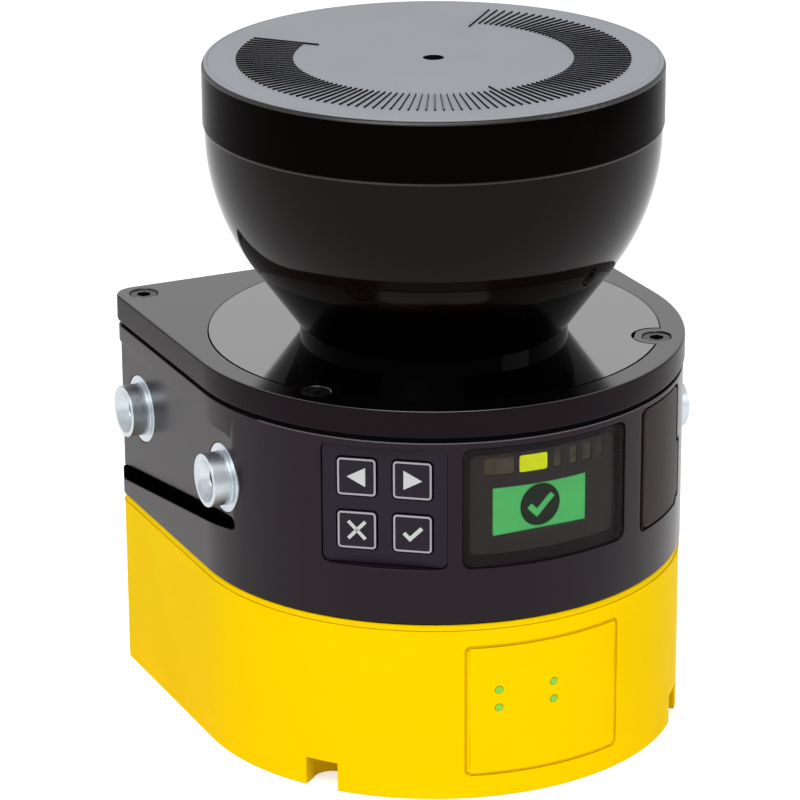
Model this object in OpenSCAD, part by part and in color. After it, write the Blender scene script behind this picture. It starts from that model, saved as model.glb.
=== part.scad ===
// Safety laser scanner: D-shaped body on a yellow base, round optics hood on top.
// Origin on the scan axis at the underside. Front is -Y, up is +Z. Millimetres.

/* [Body] */
// Width across the lid
body_w = 110.8; // [108:0.2:114]
// Depth from the round front to the flat rear
body_depth = 110.2; // [108:0.1:114]
// Height of the lid seam above the base
main_h = 41.3; // [40.8:0.1:43]
// Radius of the rear vertical corners
corner_r = 5; // [4:0.5:7]
// Wall thickness of the two housings
wall = 3; // [2.6:0.1:3.4]
// Height of the yellow base
base_h = 40.7; // [39.5:0.1:42]
// Step of the main housing in from the lid
main_step = 0.3; // [0:0.1:0.6]
// Step of the yellow base in from the lid
base_step = 0.5; // [0.2:0.1:1]
// Height of the thin rim on top of the base
rim_h = 1.3; // [1:0.1:2]
// Step of that rim
rim_in = 0.25; // [0.1:0.05:0.4]
// Floor thickness of the main housing
deck_t = 3; // [2.5:0.1:4]
// Thickness of the side walls around the mounting bushes
side_wall = 5.6; // [5:0.1:7]

/* [Seals] */
// Thickness of the seal under the main housing
base_seal_t = 0.4; // [0.3:0.1:0.6]
// Thickness of the lid gasket
gasket_t = 1.1; // [0.8:0.1:1.4]
// Distance of both seals in from the outer surface
seal_in = 0.9; // [0.6:0.1:1.2]
// Width of both seals
seal_w = 2.5; // [2:0.1:2.8]

/* [Lid and screws] */
// Height of the hood window above the lid
hood_rise = 47.8; // [47:0.1:48.6]
// Thickness of the lid frame
lid_t = 6.1; // [5.8:0.1:6.4]
// Distance of the round lid opening in from the front
lid_open_in = 11.1; // [11:0.1:13]
// Distance of the optics cover flange in from the front
flange_in = 5.7; // [5.4:0.1:6]
// Thickness of the optics cover flange
flange_t = 1.9; // [1.6:0.1:2.2]
// Angle of the front lid screws from the front
lid_screw_angle = 56; // [54:0.5:58]
// Distance of the front lid screws in from the front
lid_screw_in = 6.1; // [5.8:0.1:6.4]
// Distance of the rear lid screws in from the side
rear_screw_side = 6; // [5.8:0.1:7]
// Distance of the rear lid screws in from the rear
rear_screw_back = 5.6; // [5.4:0.1:6]
// Radius of the lid left standing around each front screw
screw_island_r = 5.5; // [5:0.1:5.8]
// Radius of the lid screw heads
lid_head_r = 3; // [2.8:0.1:3.3]
// Clearance round a lid screw head
lid_head_gap = 0.15; // [0.1:0.05:0.4]
// Height of the lid screw heads
lid_head_h = 3; // [2.6:0.1:3.2]
// Length of the lid screws below the head
lid_screw_l = 15; // [12:0.5:16]
// Radius of all screw shafts
screw_r = 2; // [1.8:0.1:2.1]
// Radius of the screw pillars
pillar_r = 5; // [4.6:0.1:5]

/* [Optics hood] */
// Distance of the spherical hood window in from the front
hood_in = 5.7; // [5.4:0.1:6]
// Height of the centre of the sphere below the cap
hood_drop = 2.1; // [1.8:0.1:2.4]
// Slope of the cone under the spherical window
cone_angle = 54.1; // [53:0.1:56]
// Radius of the neck under the cone
neck_r = 29.6; // [28.6:0.1:31]
// Wall thickness of the hood
hood_wall = 2.2; // [1.8:0.1:2.6]
// How far the hood cap stands out past the sphere
cap_over = 0.4; // [0.3:0.1:1]
// Height of the hood cap with its disc
cap_h = 13.7; // [12:0.1:14]
// Rounding of the upper edge of the cap
cap_edge_r = 0.9; // [0.5:0.1:1]
// Depth of the cap spigot inside the hood
spigot_h = 4; // [3:0.5:5]
// Width of the rim of the cap round the scale disc
cap_rim = 1.2; // [1:0.1:1.6]
// Thickness of the scale disc
disc_t = 1.8; // [1.5:0.1:2.4]
// How far the disc stands above the cap
disc_stand = 0.8; // [0.5:0.1:1]
// Bevel on the upper edge of the disc
disc_bevel = 0.7; // [0.3:0.1:0.8]
// Radius of the centre hole in the disc
disc_hole_r = 2.7; // [2:0.1:4]

/* [Angle scale] */
// Angle between ticks
tick_pitch = 2.5; // [2.5:0.5:5]
// Number of ticks on each side of the middle one
tick_half = 55; // [20:1:55]
// Distance of the inner end of the short ticks in from the disc edge
tick_in = 18.6; // [15:0.1:20]
// Distance of the outer end of the ticks in from the disc edge
tick_out = 5.9; // [3:0.1:8]
// Distance of the inner end of the three long ticks in from the disc edge
tick_long_in = 21.9; // [21:0.1:26]
// Width of a tick
tick_w = 0.55; // [0.3:0.05:0.7]
// Depth of a tick
tick_depth = 0.8; // [0.2:0.05:1]

/* [Keypad] */
// Distance of the middle of keypad and display below the lid seam
face_drop = 15; // [14.8:0.1:15.4]
// Height of the keypad and display recesses
face_h = 27.1; // [26:0.1:28]
// Angle of the keypad from the front, towards -X
keypad_angle = 36.8; // [36:0.1:38]
// Width of the keypad
keypad_w = 27.2; // [26:0.1:27.6]
// Depth of the keypad face in from the front radius
keypad_in = 2.5; // [2:0.1:2.8]
// Corner radius of the keypad
keypad_corner = 1.7; // [1:0.1:3]
// Thickness of the keypad panel
panel_t = 1.4; // [1.1:0.1:1.6]
// Side length of a key
key_w = 8.4; // [7.5:0.1:9]
// Corner radius of a key
key_corner = 0.9; // [0.6:0.1:1.5]
// Distance between key centres
key_pitch = 12; // [11.4:0.1:12.2]
// How far a key stands above the panel
key_raise = 0.3; // [0.1:0.1:0.6]
// Travel of a key
key_travel = 0.4; // [0.2:0.1:0.5]
// Width of the flange that keeps a key behind the panel
key_flange = 0.9; // [0.6:0.1:1]
// Thickness of that flange
key_flange_t = 0.8; // [0.6:0.1:1]
// Radius of the plunger behind each key
plunger_r = 1.5; // [1.2:0.1:2]
// Thickness of the housing wall behind the keys
key_back = 2; // [1.6:0.1:2.4]
// Height of the dome switches
dome_h = 0.6; // [0.4:0.1:0.8]
// Thickness of all circuit boards
board_t = 1.6; // [1.2:0.1:2]

/* [Display] */
// Width of the display window
window_w = 39; // [37:0.2:39.4]
// Angle of the display from the front, towards +X
window_angle = 1.5; // [1:0.1:2]
// Distance of screen and indicators from the middle of the window
screen_x = -1.4; // [-1.6:0.1:0]
// Corner radius of the display window
window_corner = 2; // [1:0.1:3]
// Gap round the display window
window_gap = 0.25; // [0.1:0.05:0.3]
// Thickness of the display window
window_t = 1.5; // [1.2:0.1:1.8]
// Width of the seat that carries the window
window_seat = 2.3; // [1.8:0.1:3]
// Thickness of the frame behind the window
mask_t = 3; // [2.6:0.1:3.4]
// Thickness of the screen
lcd_t = 1.4; // [1:0.1:1.8]
// Depth of the indicators
led_t = 2.4; // [2:0.1:2.8]
// Width of the screen
lcd_w = 21.9; // [20:0.1:23]
// Height of the screen
lcd_h = 10.5; // [9:0.1:11]
// Distance of the screen below the middle of the window
lcd_drop = 1.7; // [1.4:0.1:2]
// Distance of the indicator row above the middle of the window
led_rise = 8.4; // [8:0.1:8.5]
// Height of the indicators
led_h = 3.7; // [2.5:0.1:3.8]
// Corner radius of the indicators
led_corner = 0.5; // [0.3:0.1:0.8]

/* [USB port] */
// Angle of the port cap from the front, towards +X
usb_angle = 39.4; // [38.5:0.1:40]
// Width of the port cap
usb_w = 18.8; // [18:0.1:19]
// Height of the port cap
usb_h = 27.4; // [26:0.1:27.6]
// Distance of the middle of the port cap below the lid seam
usb_drop = 15.1; // [15:0.1:15.6]
// Corner radius of the port cap
usb_corner = 2; // [1.5:0.1:3]
// Thickness of the port cap
usb_cap_t = 1.8; // [1.6:0.1:2]
// Gap around the port cap
usb_gap = 0.4; // [0.35:0.05:0.5]
// Corner radius of the recess round the cap
usb_recess_r = 1.6; // [1:0.1:2.4]
// Extra gap on the hinge side of the port cap
usb_hinge_gap = 0.8; // [0.7:0.1:1]
// Width of the finger tab
tab_w = 2.1; // [1.5:0.1:2.4]
// Height of the finger tab
tab_h = 12.8; // [10:0.1:14]
// Radius of the hinge barrel
barrel_r = 1.2; // [1:0.1:1.3]
// Radius of the hinge pins
usb_pin_r = 0.8; // [0.6:0.05:0.9]
// Depth of the port recess
usb_depth = 12; // [11:0.5:12.5]
// Width of the opening of the socket
socket_w = 8.4; // [8.2:0.1:8.8]
// Height of the opening of the socket
socket_h = 4.4; // [4.2:0.1:5]
// Wall thickness of the socket
socket_wall = 0.6; // [0.4:0.1:0.8]
// Depth of the opening of the socket
socket_depth = 7.5; // [6:0.5:8]

/* [Side mounts] */
// Depth of the flat side recesses
recess_in = 1.3; // [0.8:0.1:1.6]
// Radius of the front end of a recess
recess_r = 10.8; // [10:0.1:11.2]
// Distance of the bushes below the lid seam
bush_drop = 17.5; // [17.2:0.1:17.9]
// Distance between the two bushes on a side
bush_spacing = 48; // [46:0.1:48]
// Distance of the rear bush in from the rear
bush_back = 13.4; // [13:0.1:13.8]
// Outer radius of a bush
bush_r = 5.9; // [5.5:0.1:6.1]
// Radius of the bush flange
bush_flange_r = 7.7; // [7.5:0.1:8.4]
// Thickness of the bush flange
bush_flange_t = 1.2; // [1:0.1:1.4]
// How far a bush stands out of the recess floor
bush_out = 4.3; // [2.8:0.1:4.8]
// Length of a bush below the recess floor
bush_in = 11; // [10:0.1:12]
// Radius of the bush hole
bush_hole_r = 2.5; // [2:0.1:3]
// Width of the rim round the bush mouth
bush_rim = 1; // [0.6:0.1:1.4]
// Depth of the funnel in the bush mouth
funnel_h = 2.3; // [1.5:0.1:3]
// Width of the groove below a recess
groove_w = 2.8; // [2:0.1:3]
// Slope of that groove
groove_angle = 8.75; // [8:0.05:9]
// Depth of that groove
groove_in = 3.8; // [3:0.1:4]
// Distance of the rubber strip in the groove in from the lid edge
strip_in = 0.5; // [0.4:0.1:1]

/* [Base] */
// Angle of the front base screws from the front
foot_angle = 52; // [51:0.5:53]
// Distance of the front base screws in from the front
foot_in = 5.4; // [5.2:0.1:5.8]
// Radius of the pocket around a base screw head
foot_pocket_r = 4; // [3.8:0.1:4.2]
// Depth of the pocket
foot_pocket_h = 9.6; // [8:0.1:10]
// Width of the notch from a front pocket to the outside
notch_w = 7.6; // [6:0.1:7.8]
// Height of the notch
notch_h = 6.5; // [5:0.1:7]
// Radius of the base screw heads
foot_head_r = 3.4; // [3:0.1:3.5]
// Height of the base screw heads
foot_head_h = 3.4; // [2.8:0.1:3.8]
// How far the base screws reach into the main housing
foot_reach = 9; // [7:0.5:10]
// Distance of the side of the connector alcove in from the front radius
alcove_side = 14.6; // [14.5:0.1:16]
// Depth of the connector alcove in from the rear
alcove_depth = 33; // [31:0.5:34]
// Distance of the alcove roof below the top of the base
alcove_drop = 14.7; // [14.5:0.1:16]
// Width of the marked field on the front of the base
field_w = 36.8; // [32:0.1:38]
// Distance of the top of the marked field below the top of the base
field_drop = 5.2; // [4:0.1:6]
// Height of the lower edge of the marked field
field_low = 5.4; // [5:0.1:8]
// Distance of the marked field from the middle, towards +X
field_x = 0.9; // [0:0.1:1]
// Width of the line around the field
line_w = 0.35; // [0.2:0.05:0.5]
// Depth of the line around the field
line_depth = 0.25; // [0.15:0.05:0.4]
// Distance between the two columns of network light guides
guide_pitch = 12.8; // [12:0.1:13.4]
// Distance between the two rows of network light guides
guide_rows = 4.1; // [4:0.1:4.6]
// Radius of the network light guides
guide_r = 0.8; // [0.7:0.05:1]

/* [Connectors] */
// Distance between connectors
plug_pitch = 26; // [24:0.5:27]
// Distance of the connectors in from the rear
plug_back = 17; // [16:0.5:18]
// Outer radius of the connector thread
plug_r = 6; // [5.8:0.1:6]
// Length of the connector thread
plug_l = 10.5; // [9:0.1:11]
// Radius of the connector flange
plug_flange_r = 8.6; // [8:0.1:9]
// Thickness of the connector flange
plug_flange_t = 2.5; // [2:0.1:3]
// Pitch of the connector thread
thread_pitch = 1; // [0.8:0.1:1.5]
// Wall thickness of the connector thread
plug_wall = 1.35; // [1.2:0.05:1.6]
// Radius of a contact pin
contact_r = 0.5; // [0.4:0.05:0.6]

/* [Scan drive] */
// Radius of the motor
motor_r = 16; // [14:0.5:18]
// Height of the motor underside above the main board
motor_gap = 9; // [8:0.1:12]
// Radius of the motor shaft
shaft_r = 2.45; // [2:0.05:2.6]
// Running clearance of the shaft in its bearings
shaft_gap = 0.05; // [0.02:0.01:0.09]
// Outer radius of the bearings
bearing_r = 5; // [4.5:0.1:6]
// Height of a bearing
bearing_h = 3; // [2.5:0.1:4]
// Radius of the mirror carrier
carrier_r = 14; // [12:0.5:16]
// Height of the middle of the mirror above the foot of its carrier
mirror_rise = 21; // [19:0.5:22]
// Thickness of the mirror
mirror_t = 2; // [1.5:0.1:3]
// Radius of the encoder disc
encoder_r = 22; // [20:0.5:24]
// Slots in the encoder disc
encoder_slots = 24; // [12:1:36]
// Thickness of the encoder disc
encoder_t = 0.8; // [0.6:0.1:1.2]
// Side length of the encoder sensor
sensor_w = 8; // [6:0.5:10]
// Radius of the receiver tube
tube_r = 15; // [13:0.5:16]
// Height of the receiver tube
tube_h = 13; // [10:0.5:13]
// Wall thickness of the receiver tube
tube_wall = 1.5; // [1.2:0.1:2]
// Thickness of the receiver lens
lens_t = 3; // [2:0.1:4]
// Radius of the laser module
laser_r = 4; // [3:0.1:5]

/* [Hidden] */
$fn = 96;

fit_gap = 0.1;
free_gap = 0.3;
eps = 1;

front_r = body_w / 2;
rear_y = body_depth - front_r;
core_r = min(front_r, rear_y + 0.9);
main_r = front_r - main_step;
base_r = front_r - base_step;

// Heights, from the base up to the cap
main_z = base_h + base_seal_t;
main_top = base_h + main_h;
lid_z = main_top + gasket_t;
lid_top = lid_z + lid_t;
cap_z = lid_top + hood_rise;
body_h = cap_z + cap_h;
deck_top = main_z + deck_t;
side_in = front_r - side_wall;

// Hood profile: neck, cone tangent to a sphere, then the cap
hood_r = core_r - hood_in;
hood_z = cap_z - hood_drop;
lid_open_r = core_r - lid_open_in;
flange_r = core_r - flange_in;
cap_r = hood_r + cap_over;
tan_r = hood_r * sin(cone_angle);
tan_z = hood_z - hood_r * cos(cone_angle);
neck_top = tan_z - (tan_r - neck_r) * tan(cone_angle);
disc_r = cap_r - cap_rim;
disc_z = body_h - disc_t;
cap_top = body_h - disc_stand;
cap_roof_t = 2;
cap_roof_z = disc_z - cap_roof_t;

// Keypad, measured out from the scan axis
face_z = main_top - face_drop;
panel_d = main_r - keypad_in + 0.2;
panel_back = panel_d - panel_t;
flange_d = panel_back - free_gap;
key_base_d = flange_d - key_flange_t;
key_floor_d = key_base_d - key_travel - free_gap;
switch_d = key_floor_d - key_back;
plunger_d = switch_d + dome_h + key_travel + free_gap;
dome_r = plunger_r + 0.9;
switch_w = key_pitch + 2 * dome_r + 1;

// Display, measured out from the scan axis
window_r = main_r - 0.2;
window_in_r = window_r - window_t;
mask_r = window_in_r - free_gap;
lcd_z = face_z - lcd_drop;
lcd_d = mask_r - 1.1;
led_z = face_z + led_rise;
led_r = mask_r - 0.2;
display_back = mask_r - mask_t - 3.6;
open_w = window_w - 2 * window_seat;
open_h = face_h - 2 * window_seat;
lit_led = [-0.05, 0.164] * window_w;
dim_leds = [
    [-0.245, 0.164] * window_w,
    [0.095, 0.045] * window_w,
    [0.195, 0.045] * window_w,
    [0.288, 0.058] * window_w,
    [0.377, 0.044] * window_w
];

// Port cap
usb_z = main_top - usb_drop;
cap_face_r = main_r - 0.1;
cap_in_r = cap_face_r - usb_cap_t;
usb_pocket_d = main_r - usb_depth;
hinge_t = -(usb_w / 2 - 1.1);
hinge_d = main_r - 1.9;
tab_z = usb_z - usb_h / 2 + 1.2 + tab_h / 2;
pin_reach = 0.8;

// Side recess
recess_x = main_r - recess_in;
bush_z = main_top - bush_drop;
bush_rear_y = rear_y - bush_back;
recess_y = bush_rear_y - bush_spacing - 2.4;
recess_z = bush_z + 0.2;
groove_y = recess_y - 2.1;
groove_z = recess_z - 9.2;

// Screw positions
lid_screw_d = front_r - lid_screw_in;
lid_points = [
    [lid_screw_d * sin(lid_screw_angle), -lid_screw_d * cos(lid_screw_angle)],
    [-lid_screw_d * sin(lid_screw_angle), -lid_screw_d * cos(lid_screw_angle)],
    [front_r - rear_screw_side, rear_y - rear_screw_back],
    [-(front_r - rear_screw_side), rear_y - rear_screw_back]
];
foot_d = front_r - foot_in;
foot_points = [
    [foot_d * sin(foot_angle), -foot_d * cos(foot_angle)],
    [-foot_d * sin(foot_angle), -foot_d * cos(foot_angle)],
    [base_r - 6.6, rear_y - base_step - 6],
    [-(base_r - 6.6), rear_y - base_step - 6]
];
lid_seat_z = lid_top - 0.3 - lid_head_h;
foot_pillar_h = foot_reach + 3;

// Base front: marked field and light guides
field_h = base_h - field_drop - field_low;
field_z = field_low + field_h / 2;
guide_z = field_z + 0.01 * base_h;

// Boards and connectors
alcove_x = front_r - alcove_side;
alcove_y = rear_y - alcove_depth;
alcove_h = base_h - alcove_drop;
alcove_roof = alcove_h + wall;
base_board_z = alcove_roof + 2;
plug_y = rear_y - plug_back;
main_board_z = deck_top + 6;
main_board_r = core_r - 13.2;
standoff_r = 3;
base_post_x = alcove_x - 4;
base_posts = [[base_post_x - 3, -12], [-(base_post_x - 3), -12],
              [base_post_x, alcove_y + 5], [-base_post_x, alcove_y + 5]];
main_post = 0.66 * main_board_r;
main_posts = [[main_post, main_post], [-main_post, main_post],
              [main_post, -main_post], [-main_post, -main_post]];
leg_d = core_r - 18.6;
leg_r = 3.5;
link_w = 26;
link_d = 8;
hex_r = 1.7;

// Scan drive
chassis_t = 3;
chassis_z = main_top - chassis_t - 1;
motor_z = main_board_z + board_t + motor_gap;
motor_h = chassis_z - motor_z;
encoder_z = chassis_z + chassis_t + 2;
hub_r = 7;
carrier_z = neck_top + 3;
mirror_z = carrier_z + mirror_rise;
tube_z = cap_roof_z - tube_h;

module rounded_rect(w, h, r) {
    square([w - 2 * r, h], center = true);
    square([w, h - 2 * r], center = true);
    for (x = [-1, 1], y = [-1, 1])
        translate([x * (w / 2 - r), y * (h / 2 - r)])
            circle(r);
}

// D-shaped outline, moved in from the lid by inset
module footprint(inset) {
    r = front_r - inset;
    back = rear_y - inset;
    c = max(corner_r - inset, 1);
    difference() {
        circle(r, $fn = 180);
        translate([-2 * r, eps])
            square(4 * r);
    }
    translate([-r, 0])
        square([2 * r, back - c]);
    translate([-(r - c), 0])
        square([2 * (r - c), back]);
    for (x = [-1, 1])
        translate([x * (r - c), back - c])
            circle(c);
}

// Plate that faces the front, between two distances from the scan axis
module face_plate(w, h, r, near, far, z) {
    translate([0, -near, z])
        rotate([90, 0, 0])
            linear_extrude(far - near)
                rounded_rect(w, h, r);
}

// Box that faces the front, from x0 to x1
module face_box(x0, x1, near, far, z0, z1) {
    translate([x0, -far, z0])
        cube([x1 - x0, far - near, z1 - z0]);
}

module at_keypad() {
    rotate([0, 0, -keypad_angle])
        children();
}

module at_display() {
    rotate([0, 0, window_angle])
        children();
}

module at_usb() {
    rotate([0, 0, usb_angle])
        children();
}

// Lay a YZ outline down as a slab from x0 outwards to x1 on the -X side
module side_slab(x0, x1) {
    translate([-x1, 0, 0])
        rotate([90, 0, 90])
            linear_extrude(x1 - x0)
                children();
}

// Radial cylinder that faces the front, between two distances from the axis
module face_rod(r, near, far, z) {
    translate([0, -near, z])
        rotate([90, 0, 0])
            cylinder(h = far - near, r = r);
}

module screws(points, top, head_r, head_h, length, up) {
    for (p = points)
        translate([p.x, p.y, top])
            mirror([0, 0, up ? 1 : 0])
                difference() {
                    union() {
                        translate([0, 0, -head_h])
                            cylinder(h = head_h, r = head_r, $fn = 48);
                        translate([0, 0, -head_h - length])
                            cylinder(h = length + 0.1, r = screw_r, $fn = 32);
                    }
                    translate([0, 0, -head_h * 0.6])
                        cylinder(h = head_h, r = hex_r, $fn = 6);
                }
}

module alcove_block(grow) {
    translate([-alcove_x - grow, alcove_y - grow, -eps])
        cube([2 * (alcove_x + grow), rear_y, alcove_h + grow + eps]);
}

module network_points(near, far, r) {
    for (x = [field_x - 0.88 * guide_pitch, field_x + 0.12 * guide_pitch], row = [0, 1])
        rotate([0, 0, x / base_r * 180 / PI])
            face_rod(r, near, far, guide_z + row * guide_rows, $fn = 24);
}

module base_housing() {
    color("#f6d10c")
        difference() {
            union() {
                difference() {
                    union() {
                        linear_extrude(base_h - rim_h)
                            footprint(base_step);
                        linear_extrude(base_h)
                            footprint(base_step + rim_in);
                    }
                    difference() {
                        translate([0, 0, wall])
                            linear_extrude(base_h)
                                footprint(base_step + wall);
                        alcove_block(wall);
                    }
                    alcove_block(0);
                }
                intersection() {
                    linear_extrude(base_h)
                        footprint(base_step + 1);
                    for (p = foot_points)
                        translate([p.x, p.y, 0])
                            cylinder(h = base_h, r = pillar_r + 0.4);
                }
                for (p = base_posts)
                    translate([p.x, p.y, p.y > alcove_y ? alcove_h + 1 : 1])
                        cylinder(h = base_board_z - (p.y > alcove_y ? alcove_h + 1 : 1),
                                 r = standoff_r, $fn = 32);
            }
            for (p = foot_points)
                translate([p.x, p.y, -eps]) {
                    cylinder(h = foot_pocket_h + eps, r = foot_pocket_r);
                    cylinder(h = base_h + 2 * eps, r = screw_r + fit_gap, $fn = 32);
                }
            for (a = [-foot_angle, foot_angle])
                rotate([0, 0, a])
                    face_box(-notch_w / 2, notch_w / 2, foot_d, front_r + eps, -eps, notch_h);
            for (i = [-1, 0, 1])
                translate([i * plug_pitch, plug_y, alcove_h - eps])
                    cylinder(h = wall + 2 * eps, r = plug_r + 1 + fit_gap);
            network_points(base_r - wall - eps, front_r + eps, guide_r + fit_gap);
            difference() {
                translate([field_x, 0, 0])
                    face_plate(field_w, field_h, 1.2, base_r - 10, front_r + eps, field_z);
                translate([field_x, 0, 0])
                    face_plate(field_w - 2 * line_w, field_h - 2 * line_w, 1,
                               base_r - 11, front_r + 2 * eps, field_z);
                cylinder(h = base_h, r = base_r - line_depth, $fn = 180);
            }
        }
}

module base_screws() {
    color("#b8bcc0")
        screws(foot_points, foot_pocket_h - foot_head_h, foot_head_r, foot_head_h,
               main_z + foot_reach - foot_pocket_h, true);
}

module seal_ring(z, t) {
    translate([0, 0, z])
        linear_extrude(t)
            difference() {
                footprint(seal_in);
                footprint(seal_in + seal_w);
            }
}

module base_seal() {
    color("#141414")
        seal_ring(base_h, base_seal_t);
}

module lid_gasket() {
    color("#141414")
        seal_ring(main_top, gasket_t);
}

// Threaded coupling that hangs from the alcove roof, with a socket depth
module round_connector(depth) {
    crest = plug_r;
    root = plug_r - 0.55;
    turns = floor(plug_l / thread_pitch);
    low = alcove_h - plug_flange_t - plug_l;
    difference() {
        union() {
            translate([0, 0, alcove_h - plug_flange_t])
                cylinder(h = plug_flange_t, r = plug_flange_r, $fn = 6);
            translate([0, 0, alcove_h - 0.5])
                cylinder(h = base_board_z - alcove_h + 0.5, r = plug_r + 1);
            translate([0, 0, low])
                cylinder(h = plug_l + 0.5, r = root);
            for (i = [0 : turns - 1])
                translate([0, 0, low + 0.25 + i * thread_pitch]) {
                    cylinder(h = thread_pitch * 0.4, r1 = root - 0.02, r2 = crest);
                    translate([0, 0, thread_pitch * 0.4])
                        cylinder(h = thread_pitch * 0.4, r1 = crest, r2 = root - 0.02);
                }
        }
        translate([0, 0, low - eps])
            cylinder(h = depth + eps, r = plug_r - plug_wall);
    }
}

module power_connector() {
    color("#c9ccd0")
        translate([-plug_pitch, plug_y, 0]) {
            round_connector(8.5);
            for (i = [0 : 6])
                rotate([0, 0, i * 45 + 22.5])
                    translate([2.75, 0, alcove_h - plug_flange_t - plug_l + 1.5])
                        cylinder(h = 8, r = contact_r, $fn = 16);
        }
}

module network_connectors() {
    color("#c9ccd0")
        for (x = [0, plug_pitch])
            translate([x, plug_y, 0])
                difference() {
                    round_connector(0.6);
                    for (i = [0 : 3])
                        rotate([0, 0, i * 90 + 45])
                            translate([2.4, 0, alcove_h - plug_flange_t - plug_l - eps])
                                cylinder(h = 6, r = contact_r + 0.1, $fn = 16);
                }
}

module network_leds() {
    color("#38d455") {
        network_points(base_r - wall - 0.2, base_r - 0.1, guide_r);
        network_points(base_r - wall - 2, base_r - wall - 0.2, guide_r + 0.8);
    }
}

module base_board() {
    color("#1e6b3a")
        translate([-base_post_x - 2, -17, base_board_z])
            cube([2 * base_post_x + 4, plug_y + 22, board_t]);
}

module system_connector() {
    color("#202024")
        translate([-link_w / 2, -link_d / 2, base_board_z + board_t])
            cube([link_w, link_d, main_board_z - base_board_z - board_t]);
}

module recess_outline() {
    far = rear_y + 5;
    translate([recess_y, recess_z])
        circle(recess_r);
    polygon([
        [recess_y, recess_z + recess_r],
        [far, recess_z + recess_r + 3.1],
        [far, groove_z - (far - groove_y) * tan(groove_angle)],
        [recess_y, groove_z - (recess_y - groove_y) * tan(groove_angle)]
    ]);
}

module groove_outline() {
    translate([groove_y, groove_z])
        rotate(-groove_angle) {
            circle(groove_w / 2);
            translate([0, -groove_w / 2])
                square([90, groove_w]);
        }
}

module groove_slot(far) {
    side_slab(main_r - groove_in, far)
        groove_outline();
}

module both_sides() {
    children();
    mirror([1, 0, 0])
        children();
}

module bush_points() {
    for (y = [bush_rear_y, bush_rear_y - bush_spacing])
        translate([-recess_x, y, bush_z])
            rotate([0, 90, 0])
                children();
}

module main_solid() {
    translate([0, 0, main_z])
        linear_extrude(main_top - main_z)
            footprint(main_step);
}

module usb_recess() {
    left = -usb_w / 2 - usb_gap - usb_hinge_gap;
    right = usb_w / 2 + usb_gap;
    low = usb_z - usb_h / 2 - usb_gap;
    high = usb_z + usb_h / 2 + usb_gap;
    translate([(left + right) / 2, 0, 0])
        face_plate(right - left, high - low, usb_recess_r, usb_pocket_d, front_r + eps,
                   (low + high) / 2);
    face_box(right - eps, right + tab_w, cap_in_r - 3, front_r + eps,
             tab_z - tab_h / 2 - usb_gap, tab_z + tab_h / 2 + usb_gap);
    translate([hinge_t, -hinge_d, low - pin_reach])
        cylinder(h = high - low + 2 * pin_reach, r = usb_pin_r + 0.06, $fn = 32);
    face_box(-5, 5, usb_pocket_d - 4, usb_pocket_d + eps, usb_z - 3, usb_z + 3);
}

module main_housing() {
    color("#2b2630")
        difference() {
            union() {
                difference() {
                    main_solid();
                    translate([0, 0, deck_top])
                        linear_extrude(main_top)
                            intersection() {
                                footprint(main_step + wall);
                                square([2 * side_in, 3 * front_r], center = true);
                            }
                }
                intersection() {
                    main_solid();
                    union() {
                        at_keypad()
                            face_box(-keypad_w / 2 - 2, keypad_w / 2 + 2, switch_d, front_r,
                                     face_z - face_h / 2 - 2, face_z + face_h / 2 + 2);
                        at_display()
                            face_box(-window_w / 2 - 1, window_w / 2 + 1, display_back, front_r,
                                     face_z - face_h / 2 - 1.5, face_z + face_h / 2 + 1.5);
                        at_usb()
                            face_box(-usb_w / 2 - 3, usb_w / 2 + tab_w + 3, usb_pocket_d - 1.5,
                                     front_r, usb_z - usb_h / 2 - 3, main_top + eps);
                        for (p = lid_points)
                            translate([p.x, p.y, main_z])
                                cylinder(h = main_top, r = pillar_r);
                        for (p = foot_points)
                            translate([p.x, p.y, main_z])
                                cylinder(h = foot_pillar_h, r = pillar_r);
                        both_sides()
                            bush_points()
                                translate([0, 0, fit_gap])
                                    cylinder(h = bush_in, r = bush_r + 2.2);
                    }
                }
                for (p = main_posts)
                    translate([p.x, p.y, deck_top - 1])
                        cylinder(h = main_board_z - deck_top + 1, r = standoff_r, $fn = 32);
            }
            both_sides() {
                side_slab(recess_x, front_r + eps)
                    recess_outline();
                groove_slot(front_r + eps);
                bush_points() {
                    translate([0, 0, -eps])
                        cylinder(h = bush_in + eps + fit_gap, r = bush_r + fit_gap);
                    translate([0, 0, -eps])
                        cylinder(h = bush_flange_t + eps + fit_gap, r = bush_flange_r + fit_gap);
                }
            }
            for (p = lid_points)
                translate([p.x, p.y, lid_seat_z - lid_screw_l - 1])
                    cylinder(h = lid_top, r = screw_r + fit_gap, $fn = 32);
            for (p = foot_points)
                translate([p.x, p.y, main_z - eps])
                    cylinder(h = foot_reach + 1 + eps, r = screw_r + fit_gap, $fn = 32);
            at_keypad() {
                face_plate(keypad_w, face_h, keypad_corner, panel_back, front_r + eps, face_z);
                for (x = [-1, 1], z = [-1, 1])
                    translate([x * key_pitch / 2, 0, 0]) {
                        side = key_w + 2 * (key_flange + free_gap);
                        face_plate(side, side, key_corner, key_floor_d, panel_back + eps,
                                   face_z + z * key_pitch / 2);
                        face_rod(dome_r + free_gap, switch_d - eps, key_floor_d + eps,
                                 face_z + z * key_pitch / 2);
                    }
            }
            at_display() {
                difference() {
                    face_plate(window_w, face_h, window_corner, display_back + 3,
                               front_r + eps, face_z);
                    cylinder(h = main_top, r = window_in_r, $fn = 180);
                }
                face_plate(open_w, open_h, 1.5, display_back - eps, front_r + eps, face_z);
            }
            at_usb()
                usb_recess();
            translate([-link_w / 2 - 0.5, -link_d / 2 - 0.5, main_z - eps])
                cube([link_w + 1, link_d + 1, deck_t + 2 * eps]);
        }
}

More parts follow.
